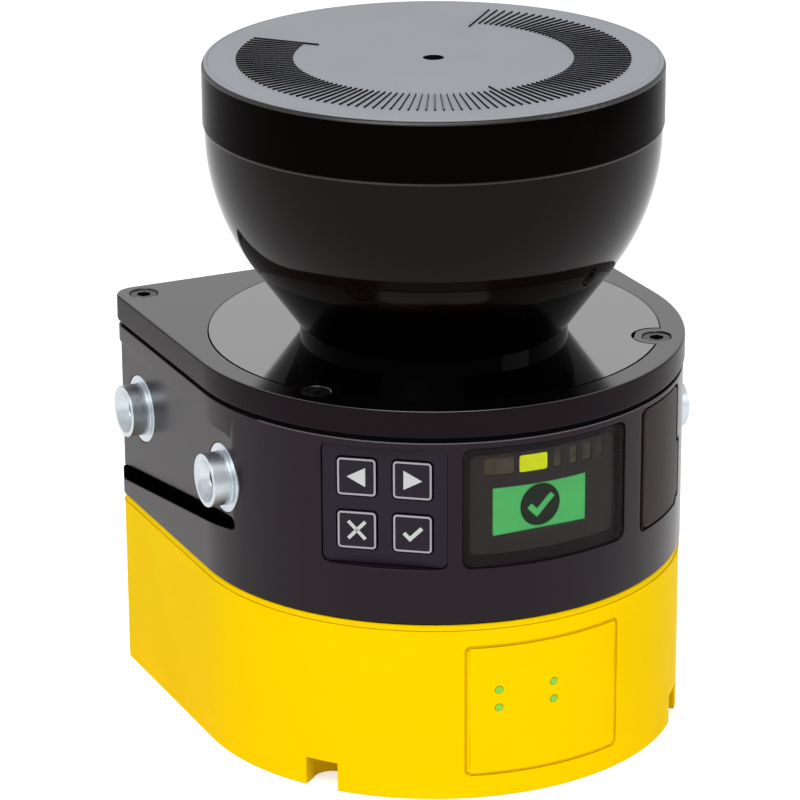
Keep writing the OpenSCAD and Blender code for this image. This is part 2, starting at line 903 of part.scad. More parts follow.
// Rubber strips that fill the side grooves
module side_strips() {
    color("#18171a")
        both_sides()
            intersection() {
                side_slab(main_r - groove_in + fit_gap, front_r - strip_in)
                    offset(delta = -fit_gap)
                        groove_outline();
                translate([0, 0, main_z])
                    linear_extrude(main_top - main_z)
                        footprint(main_step + 0.05);
            }
}

module side_bushes() {
    bush_points()
        difference() {
            union() {
                translate([0, 0, -bush_out])
                    cylinder(h = bush_out + bush_in, r = bush_r);
                cylinder(h = bush_flange_t, r = bush_flange_r);
            }
            translate([0, 0, -bush_out - eps])
                cylinder(h = bush_out + bush_in - 1, r = bush_hole_r);
            translate([0, 0, -bush_out])
                cylinder(h = funnel_h, r1 = bush_r - bush_rim, r2 = bush_hole_r);
            translate([0, 0, -bush_out - eps])
                cylinder(h = eps, r = bush_r - bush_rim);
        }
}

module side_bushes_left() {
    color("#c8ccd2")
        side_bushes();
}

module side_bushes_right() {
    color("#c8ccd2")
        mirror([1, 0, 0])
            side_bushes();
}

module lid_frame() {
    color("#2b2630")
        difference() {
            translate([0, 0, lid_z])
                linear_extrude(lid_t)
                    footprint(0);
            translate([0, 0, lid_z - eps])
                cylinder(h = lid_t + 2 * eps, r = lid_open_r);
            difference() {
                translate([0, 0, lid_top - flange_t - fit_gap])
                    cylinder(h = lid_t, r = flange_r + fit_gap, $fn = 180);
                for (i = [0, 1])
                    translate([lid_points[i].x, lid_points[i].y, 0])
                        cylinder(h = 2 * lid_top, r = screw_island_r);
            }
            for (p = lid_points)
                translate([p.x, p.y, 0]) {
                    cylinder(h = lid_top + eps, r = screw_r + fit_gap, $fn = 32);
                    translate([0, 0, lid_seat_z])
                        cylinder(h = lid_head_h + eps, r = lid_head_r + lid_head_gap);
                }
        }
}

module lid_screws() {
    color("#3a3a3e")
        screws(lid_points, lid_seat_z + lid_head_h, lid_head_r, lid_head_h, lid_screw_l, false);
}

// Hood turned about the scan axis, moved in by inset
module hood_solid(inset, low, high) {
    r = hood_r - inset;
    t_r = r * sin(cone_angle);
    t_z = hood_z - r * cos(cone_angle);
    n_r = neck_r - inset;
    n_z = t_z - (t_r - n_r) * tan(cone_angle);
    rotate_extrude($fn = 180) {
        polygon([[0, low], [n_r, low], [n_r, n_z], [t_r, t_z], [0, t_z]]);
        intersection() {
            translate([0, hood_z])
                circle(r, $fn = 180);
            translate([0, t_z])
                square([hood_r + eps, high - t_z]);
        }
    }
}

module optics_cover() {
    color("#1c1b20")
        difference() {
            union() {
                hood_solid(0, lid_top - flange_t, cap_z);
                translate([0, 0, lid_top - flange_t])
                    cylinder(h = flange_t, r = flange_r, $fn = 180);
            }
            hood_solid(hood_wall, lid_top - flange_t - eps, cap_z + eps);
            for (i = [0, 1])
                translate([lid_points[i].x, lid_points[i].y, lid_z])
                    cylinder(h = 2 * lid_t, r = screw_island_r + fit_gap);
        }
}

module hood_cap() {
    spigot_r = sqrt(pow(hood_r - hood_wall, 2) - pow(spigot_h, 2)) - free_gap;
    color("#1c1b20")
        difference() {
            rotate_extrude($fn = 180) {
                translate([0, cap_z])
                    square([cap_r, cap_top - cap_z - cap_edge_r]);
                translate([0, cap_z])
                    square([cap_r - cap_edge_r, cap_top - cap_z]);
                translate([cap_r - cap_edge_r, cap_top - cap_edge_r])
                    circle(cap_edge_r, $fn = 32);
                translate([0, cap_z - spigot_h])
                    square([spigot_r, spigot_h + eps]);
            }
            translate([0, 0, cap_z - spigot_h - eps])
                cylinder(h = cap_roof_z - cap_z + spigot_h + eps, r = spigot_r - 2, $fn = 180);
            translate([0, 0, disc_z])
                cylinder(h = 2 * disc_t, r = disc_r + fit_gap, $fn = 180);
        }
}

module scale_disc() {
    color("#9a9fa5")
        difference() {
            union() {
                translate([0, 0, disc_z])
                    cylinder(h = disc_t - disc_bevel, r = disc_r, $fn = 180);
                translate([0, 0, body_h - disc_bevel])
                    cylinder(h = disc_bevel, r1 = disc_r, r2 = disc_r - disc_bevel, $fn = 180);
            }
            translate([0, 0, disc_z - eps])
                cylinder(h = disc_t + 2 * eps, r = disc_hole_r);
            for (i = [-tick_half : tick_half])
                rotate([0, 0, i * tick_pitch])
                    translate([-tick_w / 2, tick_out - disc_r, body_h - tick_depth])
                        cube([tick_w,
                              (abs(i) == tick_half || i == 0 ? tick_long_in : tick_in) - tick_out,
                              eps]);
        }
}

module keypad_panel() {
    hole = key_w + 2 * free_gap;
    color("#25222e")
        at_keypad()
            difference() {
                face_plate(keypad_w - 2 * fit_gap, face_h - 2 * fit_gap, keypad_corner,
                           panel_back, panel_d, face_z);
                for (x = [-1, 1], z = [-1, 1])
                    translate([x * key_pitch / 2, 0, 0])
                        face_plate(hole, hole, key_corner + free_gap, panel_back - eps,
                                   panel_d + eps, face_z + z * key_pitch / 2);
            }
}

module key(col, row) {
    z = face_z + row * key_pitch / 2;
    color("#2f2b3a")
        at_keypad()
            translate([col * key_pitch / 2, 0, 0]) {
                face_plate(key_w, key_w, key_corner, flange_d - 0.1, panel_d + key_raise, z);
                face_plate(key_w + 2 * key_flange, key_w + 2 * key_flange, key_corner,
                           key_base_d, flange_d, z);
                face_rod(plunger_r, plunger_d, key_base_d + 0.1, z, $fn = 32);
            }
}

module key_left() {
    key(-1, 1);
}

module key_right() {
    key(1, 1);
}

module key_cancel() {
    key(-1, -1);
}

module key_confirm() {
    key(1, -1);
}

module switch_board() {
    color("#1e6b3a")
        at_keypad() {
            face_plate(switch_w, face_h - 2, 1, switch_d - board_t, switch_d, face_z);
            for (x = [-1, 1], z = [-1, 1])
                translate([x * key_pitch / 2, 0, 0])
                    face_rod(dome_r, switch_d - 0.1, switch_d + dome_h,
                             face_z + z * key_pitch / 2, $fn = 32);
        }
}

module display_window() {
    color("#1a1d22", 0.6)
        at_display()
            difference() {
                intersection() {
                    face_plate(window_w - 2 * window_gap, face_h - 2 * window_gap,
                               window_corner, display_back, front_r, face_z);
                    cylinder(h = main_top, r = window_r, $fn = 180);
                }
                cylinder(h = main_top, r = window_in_r + fit_gap, $fn = 180);
            }
}

module led_box(led, grow) {
    translate([screen_x + led[0], 0, 0])
        face_plate(led[1] + 2 * grow, led_h + 2 * grow, led_corner, display_back, front_r,
                   led_z, $fn = 24);
}

module screen_box(grow, far) {
    translate([screen_x, 0, 0])
        face_box(-lcd_w / 2 - grow, lcd_w / 2 + grow, lcd_d - lcd_t, far,
                 lcd_z - lcd_h / 2 - grow, lcd_z + lcd_h / 2 + grow);
}

module display_mask() {
    color("#17181c")
        at_display()
            difference() {
                intersection() {
                    face_plate(open_w - 2 * fit_gap, open_h - 2 * fit_gap, 1.5, display_back,
                               front_r, face_z);
                    cylinder(h = main_top, r = mask_r, $fn = 180);
                }
                screen_box(fit_gap, front_r);
                difference() {
                    union() {
                        led_box(lit_led, fit_gap);
                        for (led = dim_leds)
                            led_box(led, fit_gap);
                    }
                    cylinder(h = main_top, r = led_r - led_t, $fn = 180);
                }
            }
}

module display_lcd() {
    color("#4fd07a")
        at_display()
            screen_box(0, lcd_d);
}

module led_body(led) {
    at_display()
        difference() {
            intersection() {
                led_box(led, 0);
                cylinder(h = main_top, r = led_r, $fn = 180);
            }
            cylinder(h = main_top, r = led_r - led_t, $fn = 180);
        }
}

module ready_led() {
    color("#d7e600")
        led_body(lit_led);
}

module status_leds() {
    color("#4a4a50")
        for (led = dim_leds)
            led_body(led);
}

module usb_cap() {
    low = usb_z - usb_h / 2;
    high = usb_z + usb_h / 2;
    color("#2b2630")
        at_usb() {
            difference() {
                intersection() {
                    union() {
                        face_plate(usb_w, usb_h, usb_corner, cap_in_r - 4, front_r, usb_z);
                        translate([usb_w / 2 - 2, 0, 0])
                            face_plate(2 * tab_w + 4, tab_h, 1.5, cap_in_r - 4, front_r, tab_z);
                    }
                    cylinder(h = main_top, r = cap_face_r, $fn = 180);
                }
                cylinder(h = main_top, r = cap_in_r, $fn = 180);
            }
            translate([hinge_t, -hinge_d, low + 1.5])
                cylinder(h = usb_h - 3, r = barrel_r, $fn = 32);
            translate([hinge_t, -hinge_d, low - usb_gap - pin_reach + 0.2])
                cylinder(h = usb_h + 2 * (usb_gap + pin_reach - 0.2), r = usb_pin_r, $fn = 32);
        }
}

module usb_socket() {
    back = usb_pocket_d - 1.5;
    color("#c8ccd2")
        at_usb() {
            difference() {
                face_plate(socket_w + 2 * socket_wall, socket_h + 2 * socket_wall, 0.8,
                           usb_pocket_d - socket_depth, usb_pocket_d + 1, usb_z);
                face_plate(socket_w, socket_h, 0.6, usb_pocket_d + 1 - socket_depth,
                           usb_pocket_d + 2, usb_z);
            }
            face_plate(15, 11, 1, back - 1, back, usb_z);
            face_box(-3, 3, usb_pocket_d + 0.5 - socket_depth, usb_pocket_d + 0.5,
                     usb_z - 0.6, usb_z + 0.6);
        }
}

module main_board() {
    color("#1e6b3a")
        difference() {
            translate([0, 0, main_board_z])
                cylinder(h = board_t, r = main_board_r);
            for (a = [0 : 90 : 270])
                rotate([0, 0, a])
                    translate([leg_d, 0, main_board_z - eps])
                        cylinder(h = board_t + 2 * eps, r = leg_r + 0.4, $fn = 32);
        }
}

module optics_chassis() {
    color("#8d9196")
        difference() {
            union() {
                translate([0, 0, chassis_z])
                    cylinder(h = chassis_t, r = leg_d + leg_r + 1);
                for (a = [0 : 90 : 270])
                    rotate([0, 0, a])
                        translate([leg_d, 0, deck_top])
                            cylinder(h = chassis_z - deck_top + 1, r = leg_r, $fn = 32);
            }
            translate([0, 0, chassis_z - eps])
                cylinder(h = chassis_t + 2 * eps, r = hub_r + 1);
        }
}

module motor_stator() {
    color("#5c6066")
        difference() {
            translate([0, 0, motor_z])
                cylinder(h = motor_h, r = motor_r);
            for (z = [motor_z - eps, chassis_z - bearing_h])
                translate([0, 0, z])
                    cylinder(h = bearing_h + eps, r = bearing_r + fit_gap, $fn = 48);
            translate([0, 0, motor_z - eps])
                cylinder(h = motor_h + 2 * eps, r = bearing_r - 1, $fn = 48);
        }
}

module bearings() {
    color("#c8ccd2")
        for (z = [motor_z, chassis_z - bearing_h])
            translate([0, 0, z])
                difference() {
                    cylinder(h = bearing_h, r = bearing_r, $fn = 48);
                    translate([0, 0, -eps])
                        cylinder(h = bearing_h + 2 * eps, r = shaft_r + shaft_gap, $fn = 48);
                }
}

module motor_shaft() {
    color("#d4d7dc")
        translate([0, 0, motor_z - 0.5])
            cylinder(h = carrier_z + 5 - motor_z + 0.5, r = shaft_r, $fn = 48);
}

module mirror_side(offset_t) {
    translate([0, 0, mirror_z])
        rotate([45, 0, 0])
            translate([-50, -50, offset_t])
                cube(100);
}

module mirror_carrier() {
    color("#3a3c42")
        difference() {
            union() {
                translate([0, 0, encoder_z + encoder_t])
                    cylinder(h = carrier_z - encoder_z, r = hub_r, $fn = 48);
                translate([0, 0, carrier_z])
                    cylinder(h = mirror_z - carrier_z + carrier_r, r = carrier_r);
            }
            mirror_side(0);
            translate([0, 0, encoder_z])
                cylinder(h = carrier_z + 5.5 - encoder_z, r = shaft_r + shaft_gap, $fn = 48);
        }
}

module scan_mirror() {
    color("#dfe3e8")
        intersection() {
            translate([0, 0, mirror_z - 2 * carrier_r])
                cylinder(h = 4 * carrier_r, r = carrier_r);
            difference() {
                mirror_side(0);
                mirror_side(mirror_t);
            }
        }
}

module encoder_disc() {
    color("#b0b4ba")
        difference() {
            translate([0, 0, encoder_z])
                cylinder(h = encoder_t, r = encoder_r);
            translate([0, 0, encoder_z - eps])
                cylinder(h = encoder_t + 2 * eps, r = shaft_r + shaft_gap, $fn = 48);
            for (i = [0 : encoder_slots - 1])
                rotate([0, 0, i * 360 / encoder_slots])
                    translate([encoder_r - 4, -0.8, encoder_z - eps])
                        cube([2.5, 1.6, encoder_t + 2 * eps]);
        }
}

module encoder_sensor() {
    low = chassis_z + chassis_t;
    color("#202024")
        difference() {
            translate([encoder_r - 4, -sensor_w / 2, low])
                cube([sensor_w, sensor_w, encoder_z - low + 2.6]);
            translate([encoder_r - 5, -sensor_w / 2 - eps, encoder_z - 0.7])
                cube([5.6, sensor_w + 2 * eps, encoder_t + 1.4]);
        }
}

module receiver_tube() {
    color("#33353a")
        translate([0, 0, tube_z])
            difference() {
                cylinder(h = tube_h, r = tube_r);
                translate([0, 0, -eps])
                    cylinder(h = tube_h - 1 + eps, r = tube_r - tube_wall);
            }
}

module receiver_lens() {
    color("#cfe2ea", 0.5)
        translate([0, 0, tube_z + 1])
            difference() {
                cylinder(h = lens_t, r = tube_r - tube_wall - fit_gap);
                translate([0, 0, -eps])
                    cylinder(h = lens_t + 2 * eps, r = laser_r + fit_gap, $fn = 48);
            }
}

module laser_module() {
    color("#b08a3c")
        translate([0, 0, tube_z + 0.5])
            difference() {
                cylinder(h = tube_h - 1.5, r = laser_r, $fn = 48);
                translate([0, 0, -eps])
                    cylinder(h = lens_t + eps, r = laser_r / 2, $fn = 32);
            }
}

base_housing();
base_screws();
base_seal();
power_connector();
network_connectors();
network_leds();
base_board();
system_connector();
main_housing();
side_bushes_left();
side_bushes_right();
side_strips();
lid_gasket();
lid_frame();
lid_screws();
optics_cover();
hood_cap();
scale_disc();
keypad_panel();
key_left();
key_right();
key_cancel();
key_confirm();
switch_board();
display_window();
display_mask();
display_lcd();
ready_led();
status_leds();
usb_cap();
usb_socket();
main_board();
optics_chassis();
motor_stator();
bearings();
motor_shaft();
mirror_carrier();
scan_mirror();
encoder_disc();
encoder_sensor();
receiver_tube();
receiver_lens();
laser_module();
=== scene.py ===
"""Looks of a safety laser scanner: materials, printed symbols, edge rounding, light and camera."""
import math

import bpy
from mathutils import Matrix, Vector

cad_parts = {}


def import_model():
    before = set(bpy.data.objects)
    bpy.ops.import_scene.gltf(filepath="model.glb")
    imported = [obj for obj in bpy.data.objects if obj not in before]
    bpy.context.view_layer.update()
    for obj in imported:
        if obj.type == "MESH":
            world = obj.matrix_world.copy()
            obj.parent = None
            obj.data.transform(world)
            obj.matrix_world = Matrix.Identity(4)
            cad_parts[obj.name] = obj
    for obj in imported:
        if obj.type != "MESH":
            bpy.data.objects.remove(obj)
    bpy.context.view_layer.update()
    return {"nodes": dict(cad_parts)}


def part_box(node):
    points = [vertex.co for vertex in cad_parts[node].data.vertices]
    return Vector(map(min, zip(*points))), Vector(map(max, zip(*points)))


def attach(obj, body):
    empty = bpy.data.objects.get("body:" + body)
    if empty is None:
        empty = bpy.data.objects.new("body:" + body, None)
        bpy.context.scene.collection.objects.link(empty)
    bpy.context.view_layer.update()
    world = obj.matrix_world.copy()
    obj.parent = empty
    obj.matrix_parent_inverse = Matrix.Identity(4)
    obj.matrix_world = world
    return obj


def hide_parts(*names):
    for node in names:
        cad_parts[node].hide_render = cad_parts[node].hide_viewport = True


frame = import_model()
NODES = frame["nodes"]

MM = 0.001

# Camera: focal length in pixels of the picture, angles in degrees, place in mm
PICTURE_PX = 800
FOCAL_PX = 3878.31
SENSOR_MM = 36.0
CAMERA_YAW, CAMERA_PITCH, CAMERA_ROLL = 24.9, -19.99, -0.28
CAMERA_AT = (-348.2, -732.15, 366.61)

# Keypad and display: angles round the scan axis in degrees, the rest in mm
KEYPAD_ANGLE = -36.8
DISPLAY_ANGLE = 1.5
FACE_Z = 67.0
KEY_PITCH = 12.0
KEY_W = 8.4
KEY_FRONT = 53.1
LCD_FRONT = 52.0
LCD_X = -1.4
LCD_Z = 65.3
PRINT_SUNK = 0.1
PRINT_RISE = 0.03
MARK_RISE = 0.06

# Disc with the angle scale, in mm, with the pitch of its ribs in degrees
DISC_R = 49.6
DISC_HOLE_R = 2.3
DISC_SKIRT_R = 48.9
RIB_H = 0.4
RIB_W = 0.5
RIB_TOP = 0.14
RIB_HALF = 55
RIB_PITCH = 2.5
RIB_OUT = 42.6
RIB_IN = 30.3
RIB_LONG = 27.0
TURN_STEPS = 240

# Underside of the hood cap, in mm
CAP_Z = 137.0

# Places on the casing, in m
GASKET_Z = 0.082
EDGE_FRONT_Y = -0.021
CONE_TOP = 0.105
CAP_EDGE_H = 0.0018
LID_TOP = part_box("lid_frame")[1][2]
DISC_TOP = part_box("scale_disc")[1][2]

# Light
AMBIENT = 0.61
FLOOR_GLOW = 0.55
FLOOR_GREY = 0.8
FLOOR_HALF = 3.0


# ---------------------------------------------------------------- camera

def camera():
    """The camera, with its axes built from yaw, pitch and roll."""
    data = bpy.data.cameras.new("camera")
    cam = bpy.data.objects.new("camera", data)
    bpy.context.scene.collection.objects.link(cam)
    data.sensor_width = SENSOR_MM
    data.lens = FOCAL_PX / PICTURE_PX * SENSOR_MM
    data.clip_start, data.clip_end = 0.05, 20
    yaw, pitch, roll = (math.radians(a) for a in (CAMERA_YAW, CAMERA_PITCH, CAMERA_ROLL))
    look = Vector((math.sin(yaw) * math.cos(pitch), math.cos(yaw) * math.cos(pitch),
                   math.sin(pitch)))
    level = look.cross(Vector((0, 0, 1))).normalized()
    upright = level.cross(look)
    right = level * math.cos(roll) + upright * math.sin(roll)
    up = upright * math.cos(roll) - level * math.sin(roll)
    matrix = cam.matrix_world.copy()
    for i in range(3):
        matrix[i][0], matrix[i][1], matrix[i][2] = right[i], up[i], -look[i]
        matrix[i][3] = CAMERA_AT[i] * MM
    cam.matrix_world = matrix
    bpy.context.scene.camera = cam


# ---------------------------------------------------------------- materials

def srgb(r, g, b):
    """An sRGB colour of 0 to 255 as a linear colour."""
    def linear(c):
        c /= 255
        return c / 12.92 if c <= 0.04045 else ((c + 0.055) / 1.055) ** 2.4
    return (linear(r), linear(g), linear(b), 1.0)


def grey(v):
    return (v, v, v, 1.0)


def times(colour, factor):
    """A colour made darker or lighter."""
    return tuple(min(1.0, c * factor) for c in colour[:3]) + (1.0,)


def shader(name):
    mat = bpy.data.materials.new(name)
    mat.use_nodes = True
    tree = mat.node_tree
    return mat, tree, tree.nodes["Principled BSDF"]


def noise(tree, scale, detail=2.0, stretch=None):
    """A noise texture in object space."""
    coord = tree.nodes.new("ShaderNodeTexCoord")
    mapping = tree.nodes.new("ShaderNodeMapping")
    if stretch:
        mapping.inputs["Scale"].default_value = stretch
    tree.links.new(coord.outputs["Object"], mapping.inputs["Vector"])
    tex = tree.nodes.new("ShaderNodeTexNoise")
    tex.inputs["Scale"].default_value = scale
    tex.inputs["Detail"].default_value = detail
    tree.links.new(mapping.outputs["Vector"], tex.inputs["Vector"])
    return tex


def tone(tree, tex, low, high, socket):
    """Map the middle of a noise to a range of colours on a shader socket."""
    ramp = tree.nodes.new("ShaderNodeValToRGB")
    first, last = ramp.color_ramp.elements
    first.position, last.position = 0.3, 0.7
    first.color, last.color = low, high
    tree.links.new(tex.outputs["Fac"], ramp.inputs["Fac"])
    tree.links.new(ramp.outputs["Color"], socket)


def roughness(tree, tex, bsdf, span):
    tone(tree, tex, grey(span[0]), grey(span[1]), bsdf.inputs["Roughness"])


def bumps(tree, tex, bsdf, strength, depth):
    bump = tree.nodes.new("ShaderNodeBump")
    bump.inputs["Strength"].default_value = strength
    bump.inputs["Distance"].default_value = depth
    tree.links.new(tex.outputs["Fac"], bump.inputs["Height"])
    tree.links.new(bump.outputs["Normal"], bsdf.inputs["Normal"])


# Depths in m that a bump stands for
FINE, GRAINED, DEEP = 0.00001, 0.00002, 0.00005
TOOL_MARK = 0.00003


def plastic(name, colour, shade=0.06, rough=(0.38, 0.48), grain=2600, bump=0.25, depth=GRAINED,
            specular=0.5, ior=1.5, coat=0.0, coat_rough=0.1):
    """Moulded plastic with a fine spark-eroded grain and a slow change of tone."""
    mat, tree, b = shader(name)
    slow = noise(tree, 45, 3)
    tone(tree, slow, times(colour, 1 - shade), times(colour, 1 + shade), b.inputs["Base Color"])
    fine = noise(tree, grain)
    roughness(tree, fine, b, rough)
    if bump:
        bumps(tree, fine, b, bump, depth)
    b.inputs["Specular IOR Level"].default_value = specular
    b.inputs["IOR"].default_value = ior
    if coat:
        b.inputs["Coat Weight"].default_value = coat
        b.inputs["Coat Roughness"].default_value = coat_rough
    return mat


def metal(name, colour, rough, stretch=(1, 1, 1), scale=900, bump=0.15):
    """Turned or ground metal: tool marks as a stretched noise."""
    mat, tree, b = shader(name)
    b.inputs["Metallic"].default_value = 1.0
    marks = noise(tree, scale, 3, stretch)
    tone(tree, marks, times(colour, 0.86), colour, b.inputs["Base Color"])
    roughness(tree, marks, b, rough)
    bumps(tree, marks, b, bump, TOOL_MARK)
    return mat


def glowing(name, colour, strength, grain=260):
    """Lit plastic or screen, a little uneven."""
    mat, tree, b = shader(name)
    b.inputs["Roughness"].default_value = 0.35
    tex = noise(tree, grain)
    tone(tree, tex, times(colour, 0.9), colour, b.inputs["Base Color"])
    tone(tree, tex, times(colour, 0.9), colour, b.inputs["Emission Color"])
    b.inputs["Emission Strength"].default_value = strength
    return mat


def glass(name, colour, rough):
    """Clear coated lens glass that hardly bends the light."""
    mat, tree, b = shader(name)
    b.inputs["Base Color"].default_value = colour
    b.inputs["Transmission Weight"].default_value = 1.0
    b.inputs["IOR"].default_value = 1.02
    roughness(tree, noise(tree, 40), b, rough)
    b.inputs["Coat Weight"].default_value = 1.0
    b.inputs["Coat Roughness"].default_value = 0.04
    return mat


def see_through(name, colour, alpha, rough, specular):
    """Thin smoked window: a dark tint that what lies behind shows through."""
    mat, tree, b = shader(name)
    haze = noise(tree, 40)
    tone(tree, haze, times(colour, 0.9), colour, b.inputs["Base Color"])
    roughness(tree, haze, b, rough)
    b.inputs["Alpha"].default_value = alpha
    b.inputs["Specular IOR Level"].default_value = specular
    return mat


# Plastics: name, colour, shade, roughness, grain, bump, depth, specular
M = {
    # casing
    "yellow": plastic("yellow_plastic", srgb(252, 210, 0),
                      0.02, (0.36, 0.44), 2200, 0.12, FINE, 0.006),
    "body": plastic("dark_plastic", srgb(25, 14, 22),
                    0.06, (0.2, 0.27), 2600, 0.15, GRAINED, 0.15),
    # Paler than the body: a painted highlight on the upper edge of the main housing
    "edge": plastic("housing_edge_painted_highlight", srgb(84, 77, 84),
                    0.06, (0.3, 0.4), 2600, 0.1, FINE, 0.3),
    "lid_side": plastic("lid_side_plastic", srgb(20, 11, 16),
                        0.06, (0.26, 0.34), 2600, 0.2, FINE, 0.06),
    "lid": plastic("lid_plastic", srgb(3, 2, 3),
                   0.06, (0.12, 0.16), 2600, 0.06, FINE, 1.0, ior=1.65),
    "usb": plastic("usb_cap_plastic", srgb(40, 31, 32),
                   0.05, (0.36, 0.46), 2600, 0.2, GRAINED, 0.06),
    "strip": plastic("side_strip_rubber", srgb(3, 2, 3),
                     0.05, (0.5, 0.6), 2600, 0.2, GRAINED, 0.0),
    "rubber": plastic("seal_rubber", srgb(7, 6, 7),
                      0.05, (0.6, 0.75), 2600, 0.3, GRAINED, 0.02),
    # hood, with its cap and scale
    "cap": plastic("cap_plastic", srgb(4, 1, 1),
                   0.05, (0.16, 0.22), 900, 0.0, specular=0.012),
    # A paler copy of the cap plastic: a painted sheen on the cap's rounded edge
    "cap_edge": plastic("cap_edge_painted_sheen", srgb(18, 13, 14),
                        0.05, (0.3, 0.4), 900, 0.0),
    "hood": plastic("hood_plastic", srgb(11, 3, 3),
                    0.05, (0.05, 0.08), 900, 0.0, specular=0.09),
    # A darker copy of the hood plastic: a painted dark reflection on the neck and cone
    "cone": plastic("hood_cone_painted_reflection", srgb(3, 1, 1),
                    0.05, (0.05, 0.08), 900, 0.0, specular=0.03),
    # Paler than the hood: a painted highlight line on the bead under the cap
    "hood_rim": plastic("hood_rim_painted_highlight", srgb(40, 33, 33),
                        0.05, (0.3, 0.4), 900, 0.0, specular=0.3),
    "flange": plastic("flange_plastic", srgb(2, 1, 2),
                      0.05, (0.06, 0.09), 900, 0.0, specular=1.0,
                      ior=1.9, coat=1.0, coat_rough=0.06),
    "scale": plastic("scale_grey", srgb(140, 143, 148),
                     0.03, (0.45, 0.55), 3000, 0.2, FINE, 0.2),
    # Near black: painted shade on the rib flanks and in the centre hole of the scale
    "tick": plastic("scale_painted_shade", srgb(9, 6, 10),
                    0.05, (0.5, 0.6), 3000, 0.1, FINE, 0.1),
    # keypad and display
    "keypad": plastic("keypad_dark", srgb(31, 24, 34),
                      0.05, (0.34, 0.42), 3200, 0.15, FINE, 0.14),
    "key": plastic("key_dark", srgb(31, 24, 34),
                   0.05, (0.34, 0.42), 3200, 0.15, FINE, 0.14),
    "print": plastic("print_grey", srgb(196, 199, 198),
                     0.03, (0.4, 0.5), 1500, 0.0, specular=0.1),
    "line": plastic("print_line_grey", srgb(166, 162, 168),
                    0.03, (0.4, 0.5), 1500, 0.0, specular=0.1),
    "mask": plastic("display_mask", srgb(62, 56, 54), 0.05, (0.45, 0.55), 300, 0.0),
    "icon_dark": plastic("lcd_icon_dark", srgb(8, 48, 14), 0.05, (0.4, 0.5), 1500, 0.0),
    "lcd": glowing("lcd_green", srgb(92, 215, 118), 0.86, 420),
    "led_lit": glowing("led_lit", srgb(232, 246, 4), 1.15),
    "led_dim": plastic("led_dim", srgb(112, 106, 82), 0.5, (0.2, 0.4), 700, 0.5, DEEP),
    "guide": glowing("green_guide", srgb(120, 190, 50), 0.3),
    "window": see_through("window_smoke", srgb(34, 29, 29), 0.32, (0.04, 0.06), 0.1),
    # metal parts, boards and optics
    "bush": metal("bush_metal", srgb(196, 204, 210), (0.3, 0.42), (6, 1, 1), 500, 0.2),
    "zinc": metal("zinc_steel", srgb(205, 208, 212), (0.2, 0.35)),
    "black_steel": metal("black_steel", srgb(84, 82, 86), (0.25, 0.4)),
    "nickel": metal("nickel_brass", srgb(205, 202, 192), (0.15, 0.28)),
    "connector": plastic("connector_plastic", srgb(32, 32, 35), 0.05),
    "board": plastic("circuit_board", srgb(20, 92, 48), 0.15, (0.25, 0.4), 1800, 0.3),
    "cast": metal("chassis_cast", srgb(160, 163, 168), (0.45, 0.6), scale=1500, bump=0.4),
    "can": metal("motor_can", srgb(90, 93, 98), (0.3, 0.4)),
    "steel": metal("bearing_steel", srgb(200, 203, 207), (0.12, 0.2)),
    "carrier": plastic("carrier_plastic", srgb(46, 47, 50), 0.05),
    "mirror": metal("mirror_glass", srgb(232, 235, 240), (0.02, 0.04), scale=60, bump=0.0),
    "lens": glass("lens_glass", srgb(214, 232, 238), (0.03, 0.06)),
    "brass": metal("laser_brass", srgb(190, 156, 84), (0.2, 0.35)),
}

NODE_MATERIALS = {
    "base_housing": "yellow", "base_screws": "zinc", "base_seal": "rubber",
    "base_board": "board", "power_connector": "nickel", "network_connectors": "nickel",
    "network_leds": "guide", "system_connector": "connector",
    "main_housing": "body", "main_board": "board", "switch_board": "board",
    "side_bushes_left": "bush", "side_bushes_right": "bush", "side_strips": "strip",
    "keypad_panel": "keypad", "key_left": "key", "key_right": "key",
    "key_cancel": "key", "key_confirm": "key",
    "display_window": "window", "display_mask": "mask", "display_lcd": "lcd",
    "ready_led": "led_lit", "status_leds": "led_dim",
    "usb_cap": "usb", "usb_socket": "bush",
    "lid_gasket": "rubber", "lid_frame": "lid", "lid_screws": "black_steel",
    "optics_cover": "hood", "hood_cap": "cap", "scale_disc": "scale",
    "optics_chassis": "cast", "motor_stator": "can", "motor_shaft": "steel",
    "bearings": "steel", "encoder_disc": "steel", "encoder_sensor": "connector",
    "mirror_carrier": "carrier", "scan_mirror": "mirror",
    "receiver_tube": "carrier", "receiver_lens": "lens", "laser_module": "brass",
}
for node, key in NODE_MATERIALS.items():
    materials = NODES[node].data.materials
    materials.clear()
    materials.append(M[key])


# ---------------------------------------------------------------- a second material on some faces

# Tilts, as ranges of the upward part of a normal
FACING_UP = (0.9, 2.0)
SLOPING_UP = (0.12, 2.0)
BEVELLED = (0.2, 0.96)
UPRIGHT_OR_DOWN = (-2.0, 0.1)
OVERHANGING = (-0.66, 0.1)


